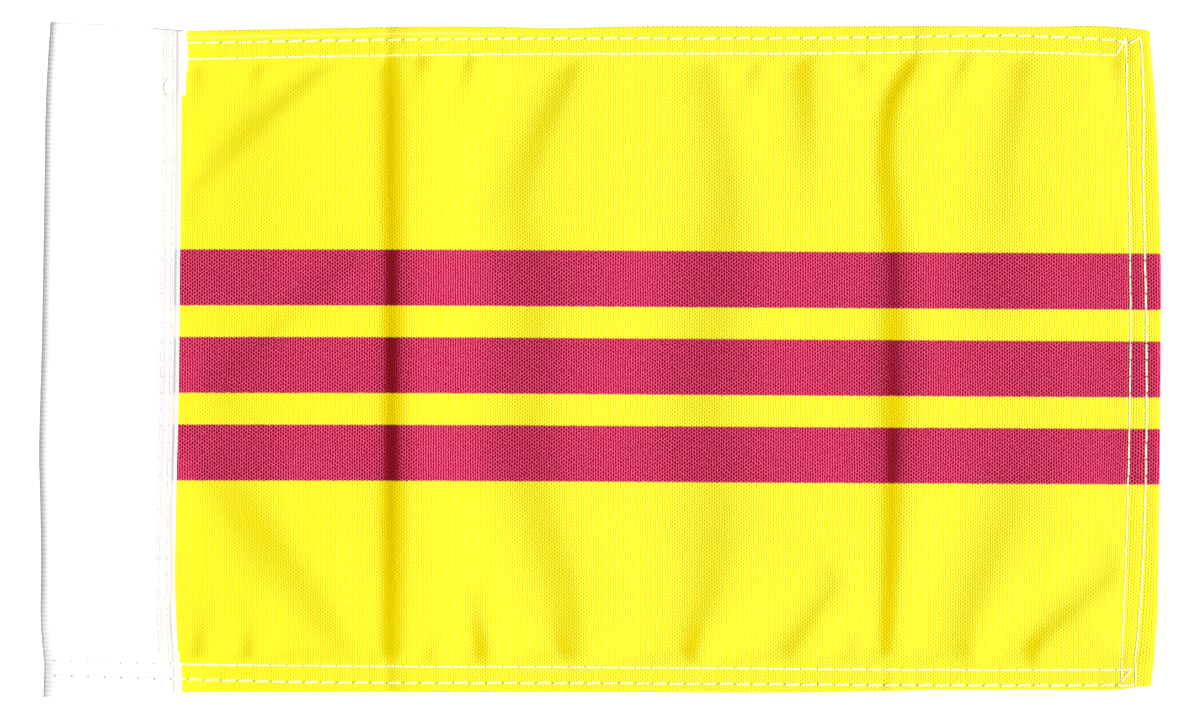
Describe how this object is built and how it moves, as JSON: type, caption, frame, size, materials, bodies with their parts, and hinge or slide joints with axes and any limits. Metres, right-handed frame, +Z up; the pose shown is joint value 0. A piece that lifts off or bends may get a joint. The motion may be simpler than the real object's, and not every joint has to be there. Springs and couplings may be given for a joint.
{
  "type": "flag with pole sleeve",
  "caption": "Small hemmed knit flag, yellow with crimson stripes, with a white sewn sleeve, open at one end, that slides onto a slim pole or stick.",
  "frame": {"origin": "middle of the flag's overall outline, on the surface that the flag lies on", "axes": "+X towards the fly edge, away from the sleeve; +Y along the sleeve towards its open mouth; +Z up, out of the printed face"},
  "size_m": [0.2568, 0.1548, 0.0086],
  "materials": {
    "printed_knit": "matt warp-knitted polyester, yellow ground with crimson stripes printed through",
    "sleeve_cloth": "matt white ribbed woven tape cloth",
    "hem_thread": "off-white twisted polyester thread",
    "sleeve_thread": "white twisted polyester thread"
  },
  "bodies": {
    "root": {"flag_panel": "printed_knit", "pole_sleeve": "sleeve_cloth", "hem_outer_needle_thread": "hem_thread", "hem_inner_needle_thread": "hem_thread", "hem_outer_bobbin_thread": "hem_thread", "hem_inner_bobbin_thread": "hem_thread", "sleeve_edge_needle_thread": "sleeve_thread", "sleeve_hoist_needle_thread": "sleeve_thread", "sleeve_edge_bobbin_thread": "sleeve_thread", "sleeve_hoist_bobbin_thread": "sleeve_thread"}
  },
  "joints": []
}
